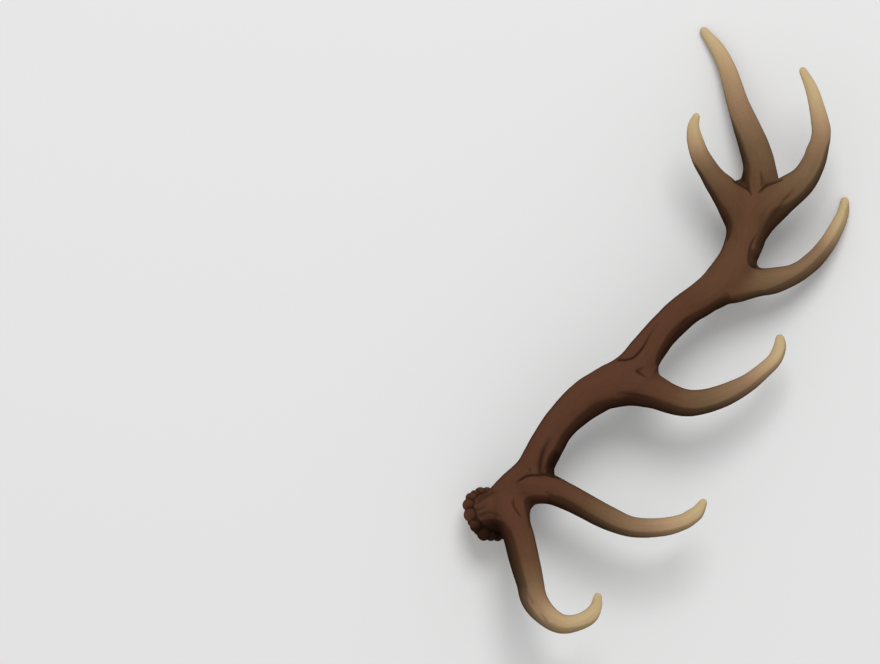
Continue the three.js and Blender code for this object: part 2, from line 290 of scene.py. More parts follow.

# Patches of painted shade in the forks and under the neck: the outline (x, y) of each, how far in
# from it the patch is darkest, the share of painted shade brown in it and how strong the patch is.
PAINTED_SHADE_PATCHES = {
    "under the neck": ([
        (-239, -240.5), (-230.5, -242), (-226, -240), (-220.5, -239), (-215, -238), (-209, -237),
        (-203.5, -236.5), (-198.5, -237.5), (-194, -241), (-191, -245.5), (-188.5, -250.5),
        (-186.5, -258), (-185, -266), (-194.5, -268.5), (-221.5, -268.5),
        (-243, -250.5)], 7, 0.06, 0.93),
    "fork of bez and brow": ([
        (-159, -246.5), (-161.5, -236.5), (-164, -227), (-166, -218.5), (-165.5, -213.5),
        (-162.5, -209.5), (-156.5, -207.5), (-148.5, -206.5), (-140, -207), (-131.5, -208.5),
        (-123.5, -210.5), (-118, -212), (-118, -229), (-137.5, -225), (-150, -223.5), (-154, -229),
        (-155.5, -246)], 9, 0, 0.88),
    "beam in the bez fork": ([
        (-135.9, -165.2), (-136.6, -172.2), (-138, -179), (-135, -181.6), (-129, -184),
        (-122, -187), (-112, -180), (-116, -160), (-126, -150)], 3, 0.6, 1),
    "fork of the trez tine": ([
        (2.5, -54), (-0.5, -47.5), (-1.5, -39), (1, -28), (6.5, -17.5), (12.5, -7), (21, 2.5),
        (29.5, 9.5), (37.5, 1.5), (21, -21.5), (10.5, -42.5), (6.5, -54)], 7, 0, 0.92),
    "edge of the royal fork": ([
        (182.5, 173), (173, 164), (164, 155.5), (154.5, 148), (146.5, 141.5), (140, 134),
        (134.5, 125), (129.5, 116), (127, 111.9), (125.2, 108), (123.1, 103.8), (120.9, 100),
        (119.1, 100.4), (117.3, 102), (115.9, 96.6), (115.3, 91), (116, 86), (118, 80.5),
        (122, 76.5), (128, 74.5), (139, 77.5), (142, 102.5), (154.5, 118), (173, 140),
        (189, 160.5)], 10, 0, 1),
    "left of the crown stem": ([
        (70, 173), (73, 168), (79.5, 158), (86, 149.5), (90.5, 142.5), (94, 134.5), (95, 127.5),
        (93.5, 119.5), (90, 112), (84, 109), (79.5, 124.5), (73, 140), (64, 152.5)], 9, 0, 1),
    "left corner of the back tine": ([
        (115.5, 202.5), (116, 190), (117, 182), (117.5, 175), (114, 175), (110, 179), (104.5, 182),
        (99, 184), (95, 186), (103, 198)], 6, 0.2, 1),
    "back tine hollow": ([
        (130.3, 200.2), (133.3, 191.6), (137.2, 186.3), (142.7, 183.5), (135.6, 180),
        (131.3, 178.3), (130.6, 188.4)], 6, 0, 0.5),
}

# The burr's main row of knobs: angle in degrees, half width, distance from the axis, height up it.
KNOBS = [
    (22.5, 6.5, 29, 0), (45.5, 6.7, 29.8, 0), (66, 7.6, 33.6, 0), (92, 7, 32.4, 0),
    (121, 8.2, 30, 0), (151, 7.4, 30.4, 0), (177, 7.2, 30.6, 0), (196, 5.8, 32, 0),
    (213, 6.6, 34.1, 1.5), (227, 6.2, 34.3, 5), (249, 6.5, 31.5, 2), (270, 6.8, 31.2, 0),
    (291, 6.7, 31, 0), (312, 6.5, 31, 0), (335, 6.6, 31, 0), (359, 6.6, 31, 0),
]

# The row below it has a knob between each two, smaller, closer to the axis and lower.
LOWER_ROW_SIZE = 0.7
LOWER_ROW_INSET = 3.4
LOWER_ROW_DROP = 4.4

# The ring's middle is this far up the beam's axis from its foot.
BURR_HEIGHT = 9.0
BURR_RING_RADIUS = 28.0
BURR_RING_THICKNESS = 10.0
# The neck flares from the beam to the ring of knobs: (height above the ring's middle, radius).
NECK_FLARE = [(-2.0, 27.0), (33.0, 22.2)]

# The foot of the beam is the record's mount, which places this file's millimetres in the frame.
FOOT = Vector(LIMBS["beam"]["stations"][0][:3]) * MM
MOUNT = {m["name"]: m for m in frame["record"]["mounts"]}["pedicle_face"]
SHIFT = Vector(MOUNT["pos_m"]) - FOOT

# ---- What a user would change ----


class AntlerShape(bpy.types.PropertyGroup):
    """How the skin of the antler is made."""

    voxel: FloatProperty(
        name="Voxel", description="Size of the skin's mesh cells",
        default=2.05 * MM, min=0.5 * MM, max=6 * MM, unit="LENGTH")
    web: FloatProperty(
        name="Web", description="How far from a fork the bone is eased into a web",
        default=20 * MM, unit="LENGTH")
    swell: FloatProperty(
        name="Swell", description="How far the smoothed skin is let out again",
        default=0.46 * MM, unit="LENGTH")
    web_rounds: IntProperty(
        name="Web rounds", description="How often the webs are eased", default=131, min=0)
    ridge_depth: FloatProperty(
        name="Ridge depth", description="Height of the lengthwise ridges",
        default=0.35 * MM, unit="LENGTH")
    unevenness: FloatProperty(
        name="Unevenness", description="Height of the slow unevenness of the bone",
        default=0.4 * MM, unit="LENGTH")
    furrow_depth: FloatProperty(
        name="Furrow depth", description="Depth of the furrows that run up from the burr",
        default=0.7 * MM, unit="LENGTH")
    crevice_depth: FloatProperty(
        name="Crevice depth", description="Depth of the crevices round the burr's knobs",
        default=1.4 * MM, unit="LENGTH")
    knob_unevenness: FloatProperty(
        name="Knob unevenness", description="How far a burr knob is out of round",
        default=0.07, subtype="FACTOR")
    seed: IntProperty(name="Seed", description="Seed of the burr knobs' random shapes", default=4)


class AntlerFinish(bpy.types.PropertyGroup):
    """Colours and gloss of the bone."""

    beam_brown: FloatVectorProperty(
        name="Beam", description="Reddish brown of the beam", subtype="COLOR",
        size=3, default=(0.104, 0.0445, 0.0252))
    crown_brown: FloatVectorProperty(
        name="Crown", description="Brown of the crown and the tines' roots", subtype="COLOR",
        size=3, default=(0.123, 0.0605, 0.032))
    olive_brown: FloatVectorProperty(
        name="Lower tines", description="Olive brown halfway up a tine", subtype="COLOR",
        size=3, default=(0.172, 0.103, 0.054))
    dusty_brown: FloatVectorProperty(
        name="Upper tines", description="Dusty brown below a tip", subtype="COLOR",
        size=3, default=(0.285, 0.175, 0.100))
    straw: FloatVectorProperty(
        name="Below the tips", description="Pale straw brown where a tine turns to its tip",
        subtype="COLOR", size=3, default=(0.445, 0.297, 0.168))
    tip_khaki: FloatVectorProperty(
        name="Tips", description="Rubbed khaki of the tips", subtype="COLOR",
        size=3, default=(0.545, 0.405, 0.221))
    # A dark brown painted into creases, crevices, hollows and fork patches as shade.
    recess_brown: FloatVectorProperty(
        name="Recesses", description="Shade-dark brown of creases", subtype="COLOR",
        size=3, default=(0.014, 0.007, 0.0045))
    cast_cream: FloatVectorProperty(
        name="Cast face", description="Pale bone of the face that was joined to the skull",
        subtype="COLOR", size=3, default=(0.48, 0.38, 0.27))
    # How much brightness the side with painted shade keeps.
    painted_shade_share: FloatProperty(
        name="Shaded side", description="How much of its brightness the unrubbed side keeps",
        default=0.19, subtype="FACTOR")
    roughness: FloatProperty(
        name="Roughness", description="Roughness of the rubbed bone", default=0.6, subtype="FACTOR")


class AntlerStage(bpy.types.PropertyGroup):
    """Floor, light and camera."""

    floor_colour: FloatVectorProperty(
        name="Floor", description="Pale floor", subtype="COLOR", size=3, default=(0.82, 0.82, 0.82))
    lens: FloatProperty(name="Lens", description="Focal length in millimetres", default=1000.0)
    key_power: FloatProperty(
        name="Key light", description="Power of the key light", default=500.0, unit="POWER")
    sky_strength: FloatProperty(
        name="Sky", description="Strength of the even white sky", default=0.58)


# ---- Lines through stations ----


def through(points, steps):
    """A smooth line (centripetal spline) through the points, in `steps` samples for each gap."""
    given = np.array(points, float)
    padded = np.vstack([2 * given[0] - given[1], given, 2 * given[-1] - given[-2]])
    parts = []
    for i in range(len(given) - 1):
        a, b, c, d = padded[i:i + 4]
        gaps = [max(np.linalg.norm(q - p), 1e-9) ** 0.5 for p, q in ((a, b), (b, c), (c, d))]
        start = (b - a) / gaps[0] - (c - a) / (gaps[0] + gaps[1]) + (c - b) / gaps[1]
        end = (c - b) / gaps[1] - (d - b) / (gaps[1] + gaps[2]) + (d - c) / gaps[2]
        start, end = start * gaps[1], end * gaps[1]
        t = np.linspace(0, 1, steps, endpoint=False)[:, None]
        cubic = 2 * b - 2 * c + start + end
        square = -3 * b + 3 * c - 2 * start - end
        parts.append(b + start * t + square * t ** 2 + cubic * t ** 3)
    parts.append(given[-1:])
    return np.vstack(parts)


# Samples between two stations of a limb, between two points of a crease, and round a limb's end.
LIMB_STEPS, TRACK_STEPS, CAP_STEPS = 10, 8, 9
SHARP_END = 0.05 * MM


def limb_line(limb):
    """Centres and half widths along a limb in metres, with its rounded end."""
    line = through(limb["stations"], LIMB_STEPS) * MM
    centres, halves = line[:, :3] + np.array(SHIFT), line[:, 3]
    heading = centres[-1] - centres[-2]
    heading /= np.linalg.norm(heading)
    angles = np.linspace(0, math.pi / 2, CAP_STEPS)[1:]
    reach = halves[-1] * limb.get("cap", TIP_CAP) * np.sin(angles)
    centres = np.vstack([centres, centres[-1] + reach[:, None] * heading])
    halves = np.append(halves, np.maximum(halves[-1] * np.cos(angles), SHARP_END))
    return centres, halves


def headings(centres):
    """Unit directions along a line of centres."""
    steps = np.gradient(centres, axis=0)
    return steps / np.linalg.norm(steps, axis=1)[:, None]


def cross_axes(directions):
    """The level axis across each direction, and the axis square to both."""
    side = np.cross(directions, (0.0, 0.0, 1.0))
    side /= np.linalg.norm(side, axis=1)[:, None]
    return side, np.cross(side, directions)


def placed(name, data):
    """A new object in the scene."""
    made = bpy.data.objects.new(name, data)
    bpy.context.scene.collection.objects.link(made)
    return made


# ---- Geometry Nodes ----


class Nodes:
    """Adds nodes to self.tree."""

    def node(self, kind, links=None, **settings):
        made = self.tree.nodes.new(kind)
        for key, value in settings.items():
            setattr(made, key, value)
        for socket, source in (links or {}).items():
            if isinstance(source, bpy.types.NodeSocket):
                self.tree.links.new(source, made.inputs[socket])
            else:
                made.inputs[socket].default_value = source
        return made


class Tree(Nodes):
    """A geometry node tree with named inputs, built one node at a time."""

    def __init__(self, name, inputs):
        self.tree = bpy.data.node_groups.new(name, "GeometryNodeTree")
        shape = ("Geometry", "NodeSocketGeometry")
        for label, kind in (shape, *inputs):
            self.tree.interface.new_socket(label, in_out="INPUT", socket_type=kind)
        self.tree.interface.new_socket(shape[0], in_out="OUTPUT", socket_type=shape[1])
        self.start = self.tree.nodes.new("NodeGroupInput")
        self.end = self.tree.nodes.new("NodeGroupOutput")

    def finish(self, geometry, material):
        real = self.node("GeometryNodeRealizeInstances", {"Geometry": geometry})
        dressed = self.node(
            "GeometryNodeSetMaterial", {"Geometry": real.outputs[0], "Material": material})
        self.tree.links.new(dressed.outputs[0], self.end.inputs[0])
        return self.tree


def limb_tree(material):
    """Sweeps an oval along a curve, as thick as the curve's own radius."""
    t = Tree("Antler limb", [("Sides", "NodeSocketInt"), ("Depth", "NodeSocketFloat")])
    level = t.node(
        "GeometryNodeSetCurveNormal", {"Curve": t.start.outputs["Geometry"]}, mode="Z_UP")
    ring = t.node("GeometryNodeCurvePrimitiveCircle", {
        "Resolution": t.start.outputs["Sides"], "Radius": 1.0})
    stretch = t.node("ShaderNodeCombineXYZ", {"X": 1.0, "Y": t.start.outputs["Depth"], "Z": 1.0})
    oval = t.node("GeometryNodeTransform", {
        "Geometry": ring.outputs["Curve"], "Scale": stretch.outputs[0]})
    radius = t.node("GeometryNodeInputRadius")
    sweep = t.node("GeometryNodeCurveToMesh", {
        "Curve": level.outputs[0], "Profile Curve": oval.outputs[0],
        "Scale": radius.outputs[0], "Fill Caps": True})
    return t.finish(sweep.outputs[0], material)


KNOB_SUBDIVISIONS = 4
# A knob turns by up to this much about each axis, in radians.
FULL_TURN = (6.3, 6.3, 6.3)


def burr_tree(material):
    """Sets a knob on each point, as large as the point's own size and a little out of round."""
    t = Tree("Burr knobs", [("Unevenness", "NodeSocketFloat"), ("Seed", "NodeSocketInt")])
    seed = t.start.outputs["Seed"]
    knob = t.node("GeometryNodeMeshIcoSphere", {"Radius": 1.0, "Subdivisions": KNOB_SUBDIVISIONS})
    size = t.node("GeometryNodeInputNamedAttribute", {"Name": "size"}, data_type="FLOAT")
    uneven = t.start.outputs["Unevenness"]
    least = t.node("ShaderNodeMath", {0: 1.0, 1: uneven}, operation="SUBTRACT")
    most = t.node("ShaderNodeMath", {0: 1.0, 1: uneven}, operation="ADD")
    oval = t.node("FunctionNodeRandomValue", {
        0: least.outputs[0], 1: most.outputs[0], "Seed": seed}, data_type="FLOAT_VECTOR")
    scale = t.node("ShaderNodeVectorMath", {
        0: oval.outputs[0], "Scale": size.outputs["Attribute"]}, operation="SCALE")
    turn = t.node("FunctionNodeRandomValue", {
        0: (0.0, 0.0, 0.0), 1: FULL_TURN, "Seed": seed}, data_type="FLOAT_VECTOR")
    set_out = t.node("GeometryNodeInstanceOnPoints", {
        "Points": t.start.outputs["Geometry"], "Instance": knob.outputs["Mesh"],
        "Rotation": turn.outputs[0], "Scale": scale.outputs[0]})
    return t.finish(set_out.outputs[0], material)


def modified(name, data, kind, settings, inputs=None):
    """The plain mesh that one modifier makes of some curve or mesh data."""
    holder = placed(name, data)
    modifier = holder.modifiers.new(name, kind)
    for key, value in settings.items():
        setattr(modifier, key, value)
    for key, value in (inputs or {}).items():
        modifier[key] = value
    bpy.context.view_layer.update()
    final = holder.evaluated_get(bpy.context.evaluated_depsgraph_get())
    mesh = bpy.data.meshes.new_from_object(final)
    bpy.data.objects.remove(holder)
    return mesh


def grown(name, data, tree, values):
    """The plain mesh that a node tree makes of some data, with its inputs given by their labels."""
    sockets = {s.name: s.identifier for s in tree.interface.items_tree if s.in_out == "INPUT"}
    inputs = {sockets[label]: value for label, value in values.items()}
    return modified(name, data, "NODES", {"node_group": tree}, inputs)


# ---- The antler's limbs and burr ----


# Sides of a limb's outline, and of the burr's ring and the neck's flare.
LIMB_SIDES, BURR_SIDES = 48, 64


def limb_mesh(name, limb, tree):
    """An oval swept along a limb's line."""
    centres, halves = limb_line(limb)
    curve = bpy.data.curves.new(name, "CURVE")
    curve.dimensions = "3D"
    spline = curve.splines.new("POLY")
    spline.points.add(len(centres) - 1)
    for point, centre, half in zip(spline.points, centres, halves):
        point.co = (*centre, 1.0)
        point.radius = half
    return grown(name, curve, tree, {"Sides": LIMB_SIDES, "Depth": limb["depth"]})


def burr_matrix():
    """Places the burr's own axes: Z runs up the beam from the middle of the ring."""
    centres, _ = limb_line(LIMBS["beam"])
    heading = Vector(headings(centres)[0])
    side = heading.cross(Vector((0, 0, 1))).normalized()
    rise = side.cross(heading)
    middle = Vector(centres[0]) + heading * BURR_HEIGHT * MM
    return Matrix.Translation(middle) @ Matrix((side, rise, heading)).transposed().to_4x4()


def knob_points():
    """The middles and half widths of both rows of the burr's knobs, in its own axes."""
    row = np.array(KNOBS, float)
    after = np.roll(row, -1, 0)
    after[-1, 0] += 360
    below = (row + after) / 2 * (1, LOWER_ROW_SIZE, 1, 1)
    below += (0, 0, -LOWER_ROW_INSET, -LOWER_ROW_DROP)
    angle, size, radius, height = np.vstack([row, below]).T
    angle = np.radians(angle)
    middles = np.stack([radius * np.cos(angle), radius * np.sin(angle), height], 1)
    return middles * MM, size * MM


def cone(ends, place):
    """A closed cone about the burr's axis between two (height, radius) in millimetres."""
    (low, wide), (high, narrow) = ends
    whole = bmesh.new()
    bmesh.ops.create_cone(
        whole, cap_ends=True, segments=BURR_SIDES,
        radius1=wide * MM, radius2=narrow * MM, depth=(high - low) * MM,
        matrix=place @ Matrix.Translation((0, 0, (low + high) / 2 * MM)))
    mesh = bpy.data.meshes.new("cone")
    whole.to_mesh(mesh)
    whole.free()
    return mesh


def burr_meshes(shape, tree):
    """Two rows of knobs, the ring that they grow from, and the flare of the neck."""
    place = burr_matrix()
    middles, sizes = knob_points()
    points = bpy.data.meshes.new("knob middles")
    points.from_pydata(middles.tolist(), [], [])
    write_attribute(points, "size", sizes)
    knobs = grown(
        "burr knobs", points, tree, {"Unevenness": shape.knob_unevenness, "Seed": shape.seed})
    knobs.transform(place)
    half = BURR_RING_THICKNESS / 2
    ring = [(-half, BURR_RING_RADIUS), (half, BURR_RING_RADIUS)]
    return [knobs, cone(ring, place), cone(NECK_FLARE, place)]


def joined(meshes):
    """One mesh of several."""
    whole = bmesh.new()
    for mesh in meshes:
        whole.from_mesh(mesh)
    out = bpy.data.meshes.new("antler")
    whole.to_mesh(out)
    whole.free()
    return out


def refined(mesh, near):
    """Halves the mesh's cells between points that are marked as near some detail."""
    whole = bmesh.new()
    whole.from_mesh(mesh)
    edges = [e for e in whole.edges if near[e.verts[0].index] and near[e.verts[1].index]]
    bmesh.ops.subdivide_edges(whole, edges=edges, cuts=1, use_grid_fill=True)
    whole.to_mesh(mesh)
    whole.free()


# ---- Reading and writing the skin's points ----


def read(items, field, width, kind=np.float32):
    """One field of all the points or edges of a mesh, a row for each."""
    flat = np.empty(len(items) * width, kind)
    items.foreach_get(field, flat)
    return flat.reshape(-1, width)


def get_points(mesh):
    return read(mesh.vertices, "co", 3).astype(float)


def set_points(mesh, points):
    mesh.vertices.foreach_set("co", points.astype(np.float32).ravel())
    mesh.update()


def get_normals(mesh):
    return read(mesh.vertices, "normal", 3).astype(float)


def edge_ends(mesh):
    return read(mesh.edges, "vertices", 2, np.int32)


def neighbour_mean(values, ends):
    """The mean of each point's neighbours."""
    a, b = ends[:, 0], ends[:, 1]
    degree = np.bincount(ends.ravel(), minlength=len(values)).astype(float)
    out = np.empty_like(values)
    for k in range(values.shape[1]):
        total = np.bincount(a, values[b, k], len(values))
        total += np.bincount(b, values[a, k], len(values))
        out[:, k] = total / degree
    return out


def smooth(points, ends, share, rounds):
    """Moves points a share of the way to their neighbours' mean."""
    for _ in range(rounds):
        points = points + share * (neighbour_mean(points, ends) - points)
    return points


def sag(points, ends, normals):
    """How far each point lies below its neighbours' mean."""
    return ((neighbour_mean(points, ends) - points) * normals).sum(1)


# The normals are read afresh after this many rounds.
NORMALS_EVERY = 10


def filled(mesh, points, ends, weight, rounds):
    """Eases bone into concave places, as far as their weight says, and never cuts into it."""
    for step in range(rounds):
        if step % NORMALS_EVERY == 0:
            set_points(mesh, points)
            normals = get_normals(mesh)
        lift = sag(points, ends, normals)
        points = points + (weight * np.maximum(lift, 0))[:, None] * normals
    return points


def ramp(value, low, high):
    """0 below low, 1 above high, and smooth between."""
    t = np.clip((value - low) / (high - low), 0, 1)
    return t * t * (3 - 2 * t)


def fade(value, span):
    """A ramp between two bounds in millimetres."""
    return ramp(value, span[0] * MM, span[1] * MM)


# ---- Where a point lies on the antler ----


# How many points are measured at once, to spare memory.
BLOCK = 20000


def limb_fit(points, limb):
    """Each point's distance outside a limb, its place along and round it, and the half width."""
    centres, halves = limb_line(limb)
    lengths = np.append(0, np.cumsum(np.linalg.norm(np.diff(centres, axis=0), axis=1)))
    side, rise = cross_axes(headings(centres))
    nearest = np.empty(len(points), int)
    gap = np.empty(len(points))
    for start in range(0, len(points), BLOCK):
        block = slice(start, start + BLOCK)
        reach = np.linalg.norm(points[block, None] - centres[None], axis=2) - halves[None]
        nearest[block] = reach.argmin(1)
        gap[block] = reach.min(1)
    off = points - centres[nearest]
    across = (off * side[nearest]).sum(1)
    upward = (off * rise[nearest]).sum(1)
    return {
        "gap": gap, "along": lengths[nearest], "share": lengths[nearest] / lengths[-1],
        "turn": np.arctan2(upward, across), "half": halves[nearest],
        "across": across / halves[nearest],
    }


# How many ridges of each kind there are round a limb, and how strong they are.
RIDGES = ((3, 0.35), (5, 0.5), (8, 0.6), (13, 0.45), (21, 0.25))
# The lengths of the bone's slow waves in metres, and how strong they are.
SLOW_WAVES = ((0.07, 0.5), (0.045, 0.4), (0.028, 0.3), (0.017, 0.22))


def waves(fit, seed):
    """Lengthwise ridges that wander slowly, from -1 to 1, as the velvet's vessels left them."""
    turn, along = fit["turn"], fit["along"]
    total = np.zeros(len(turn))
    random = np.random.RandomState(seed)
    for count, weight in RIDGES:
        phase = random.uniform(0, 2 * math.pi, 3)
        wander = 0.7 * np.sin(along * 31 + phase[0]) + 0.5 * np.sin(along * 67 + phase[1])
        total += weight * np.sin(count * (turn + 0.22 * wander) + phase[2])
    return total / 1.6


def lumps(points, seed):
    """Slow unevenness, from about -1 to 1, as a sum of slanted waves."""
    random = np.random.RandomState(seed)
    total = np.zeros(len(points))
    for length, weight in SLOW_WAVES:
        for _ in range(3):
            way = random.normal(size=3)
            way *= 2 * math.pi / length / np.linalg.norm(way)
            total += weight / 3 ** 0.5 * np.sin(points @ way + random.uniform(0, 2 * math.pi))
    return total


def line_distance(flat_points, line):
    """Distance of each (x, y) from a line, and the share of the line where it is nearest."""
    a, b = line[:-1], line[1:]
    best = np.full(len(flat_points), 1e9)
    share = np.zeros(len(flat_points))
    for i, (p, q) in enumerate(zip(a, b)):
        run = q - p
        t = np.clip(((flat_points - p) @ run) / (run @ run), 0, 1)
        away = np.linalg.norm(flat_points - (p + t[:, None] * run), axis=1)
        closer = away < best
        best[closer] = away[closer]
        share[closer] = ((i + t) / len(a))[closer]
    return best, share


def burr_places(points):
    """Each point in the burr's own axes, and its distance from the middle of the burr."""
    place = burr_matrix()
    turned = np.array(place.inverted())
    local = points @ turned[:3, :3].T + turned[:3, 3]
    return local, np.linalg.norm(points - np.array(place.translation), axis=1)


def track(line):
    """A smooth line through (x, y) points of the design, in metres in the frame."""
    return through(line, TRACK_STEPS) * MM + np.array(SHIFT)[:2]


# The side that faces up: where it starts and where it is full, as the height of a point's normal.
UP_FROM, UP_FULL = -0.1, 0.25
# A crease is a narrow core in a valley this many times as wide, and the core has most of its depth.
VALLEY = 2.6
CORE_SHARE = 0.75
TINY = 1e-6


def tapered(share, part):
    """Rises from 0 to 1 over the first part of a crease, and at once where that part is 0."""
    return np.clip((share + TINY) / (part + TINY), 0, 1)


def crease_depths(points, normals):
    """How deep the creases cut at each point in metres, and how dark their painted shade is, from 0
    to 1.
    """
    depth = np.zeros(len(points))
    dark = np.zeros(len(points))
    faces_up = ramp(normals[:, 2], UP_FROM, UP_FULL)
    for name, (line, deep, half, darkness) in CREASES.items():
        away, share = line_distance(points[:, :2], track(line))
        start, end = FADES.get(name, USUAL_FADE)
        taper = (tapered(share, start) * tapered(1 - share, end)) ** 0.7 * faces_up
        core = np.exp(-(away / (half * MM)) ** 2)
        valley = np.exp(-(away / (VALLEY * half * MM)) ** 2)
        profile = CORE_SHARE * core + (1 - CORE_SHARE) * valley
        depth = np.maximum(depth, deep * MM * profile * taper)
        dark = np.maximum(dark, darkness * core * taper)
    return depth, dark


# Finer cells reach this far from the burr's middle and this high up its axis, in millimetres.
BURR_REACH, BURR_TOP = 46, 12


def near_detail(points, normals):
    """Which points are close enough to a crease or to the burr's knobs to need finer cells."""
    local, from_burr = burr_places(points)
    near = (from_burr < BURR_REACH * MM) & (local[:, 2] < BURR_TOP * MM)
    for line, _, half, _ in CREASES.values():
        away, _ = line_distance(points[:, :2], track(line))
        near |= (away < VALLEY * half * MM) & (normals[:, 2] > UP_FROM)
    return near


def depth_inside(flat_points, line):
    """How far each (x, y) is inside a closed line, below 0 outside it."""
    away, _ = line_distance(flat_points, line)
    x, y = flat_points.T
    inside = np.zeros(len(flat_points), bool)
    for (px, py), (qx, qy) in zip(line[:-1], line[1:]):
        if py != qy:
            inside ^= ((py > y) != (qy > y)) & (x < (qx - px) * (y - py) / (qy - py) + px)
    return np.where(inside, away, -away)


# How dark the painted shade is: the slope before it, the step where it starts, the edge of a patch,
# and what is added slowly from there inwards.
SLOPE_DARK, STEP_DARK, PATCH_DARK, REST_DARK = 0.07, 0.55, 0.6, 0.33
SLOWNESS = 1.7
PATCH_EDGE = (-1.1, 1.1)


def band_darkness(reach, start):
    """Painted shade across a limb: a faint slope, a step where its shaded side starts, a slow rest.
    """
    slope = SLOPE_DARK * ramp(reach, -0.7, start) * (1 - ramp(start, 0.7, 1.0))
    step = STEP_DARK * ramp(reach - start, -0.06, 0.14)
    rest = np.clip((reach - start) / np.maximum(0.95 - start, 0.05), 0, 1) ** SLOWNESS
    return slope + step + REST_DARK * rest


def painted_shade_bands(points, normals, fits, weights):
    """Painted shade: how much brightness each point keeps, from 0 to 1, and the shade brown in
    patches.
    """
    dark = np.zeros(len(points))
    painted_recess_shade = np.zeros(len(points))
    for weight, fit, limb in zip(weights, fits, LIMBS.values()):
        side, places = limb["dark"]
        dark += weight * band_darkness(side * fit["across"], np.interp(fit["share"], *zip(*places)))
    faces_up = ramp(normals[:, 2], UP_FROM, UP_FULL)
    for outline, width, painted_patch_shade, strength in PAINTED_SHADE_PATCHES.values():
        inside = depth_inside(points[:, :2], track([*outline, outline[0]]))
        edge = fade(inside, PATCH_EDGE) * faces_up * strength
        deep = np.clip(inside / (width * MM), 0, 1)
        dark = np.maximum(dark, edge * (PATCH_DARK + REST_DARK * deep ** SLOWNESS))
        painted_recess_shade = np.maximum(painted_recess_shade, edge * painted_patch_shade * (0.4 + 0.6 * deep))
    return 1 - dark * (0.6 + 0.4 * ramp(normals[:, 2], -0.2, 0.3)), painted_recess_shade


# The width of a crevice between two knobs and the distances outside them over which it fades. Then
# how far outside the knobs the crevice round their foot lies, its width, and where up the burr's
# axis it starts. All are in millimetres.
CREVICE_WIDTH, CREVICE_FADE = 1.3, (1.2, 3)
FOOT_OUTSIDE, FOOT_WIDTH, FOOT_START = 1.2, 1.5, (0, 2)


def burr_crevices(local):
    """How strong the crevices are between the knobs, and between them and the neck, from 0 to 1."""
    out = np.stack([
        np.linalg.norm(local - middle, axis=1) - size for middle, size in zip(*knob_points())])
    first, second = np.sort(out, axis=0)[:2]
    between = np.exp(-((second - first) / (CREVICE_WIDTH * MM)) ** 2)
    between *= 1 - fade(first, CREVICE_FADE)
    foot = np.exp(-((first - FOOT_OUTSIDE * MM) / (FOOT_WIDTH * MM)) ** 2)
    foot *= fade(local[:, 2], FOOT_START)
    return np.maximum(0.8 * between, foot)


# The furrows above the burr: how many, how far up they run, and the heights where they start.
FURROWS = 13
FURROW_REACH = 22
FURROW_START = (1, 6)


def burr_furrows(local, shape):
    """Uneven furrows that run up the beam from the burr, in metres deep."""
    height, angle = local[:, 2], np.arctan2(local[:, 1], local[:, 0])
    wander = 0.12 * np.sin(height / (11 * MM) + 2 * angle)
    valley = (0.5 - 0.5 * np.cos(FURROWS * (angle + wander))) ** 3
    uneven = 0.55 + 0.45 * np.sin(4 * angle + 1.3)
    reach = (FURROW_REACH + 7 * np.sin(3 * angle + 1) + 5 * np.sin(7 * angle + 2)) * MM
    length = fade(height, FURROW_START) * (1 - ramp(height / reach, 0.3, 1.2))
    return shape.furrow_depth * valley * uneven * length


def write_attribute(mesh, name, values):
    kind, field = ("FLOAT", "value") if values.ndim == 1 else ("FLOAT_VECTOR", "vector")
    layer = mesh.attributes.new(name, kind, "POINT")
    layer.data.foreach_set(field, values.astype(np.float32).ravel())


def shares(gaps, reach):
    """How much each limb has to say at each point, from its distance outside each limb."""
    near = np.exp(-(gaps - gaps.min(0)) / reach)
    return near / near.sum(0)


# Bounds in millimetres up the burr's axis and from its middle: where the burr ends, where the neck
# that is eased starts and ends, and where the ridges come in.
BURR_ENDS, BURR_EDGE = (4, 8), (36, 44)
NECK_STARTS, NECK_ENDS, NECK_EDGE = (5, 9), (30, 45), (60, 75)
RIDGES_START, RIDGES_EDGE = (6, 20), (50, 60)
# Ridges are full on a limb that has this half width, in millimetres.
STOUT = 22
# How far, in millimetres, the limbs' shares blend at a fork: for carving, darkness and paleness.
CARVE_BLEND, DARK_BLEND, PALE_BLEND = 3, 6, 8
# How deep, in millimetres, a hollow and a fold are where they are darkest, and how widely the skin
# is eased to find the folds.
FULL_HOLLOW, FULL_FOLD, FOLD_ROUNDS = 0.16, 1.4, 30
# Each limb's grain starts this many metres after the last one's, so that no two are alike.
GRAIN_SHIFT = 0.9
# The cast face's pale bone comes in over these heights along the mount's axis, in millimetres.
CAST_START = (-2.5, -0.8)


def web_skin(mesh, shape):
    """Smooths away the cells' steps and eases bone into the forks and the neck."""
    points, ends = get_points(mesh), edge_ends(mesh)
    points = smooth(points, ends, 0.5, 3)
    order = np.sort(np.stack([limb_fit(points, limb)["gap"] for limb in LIMBS.values()]), axis=0)
    local, from_burr = burr_places(points)
    height = local[:, 2]
    on_burr = (1 - fade(from_burr, BURR_EDGE)) * (1 - fade(height, BURR_ENDS))
    fork = 1 - ramp(order[1] - order[0], 0, shape.web)
    neck = 0.8 * fade(height, NECK_STARTS) * (1 - fade(height, NECK_ENDS))
    neck *= 1 - fade(from_burr, NECK_EDGE)
    weight = 0.8 * np.maximum(fork, neck) * (1 - on_burr)
    set_points(mesh, filled(mesh, points, ends, weight, shape.web_rounds))


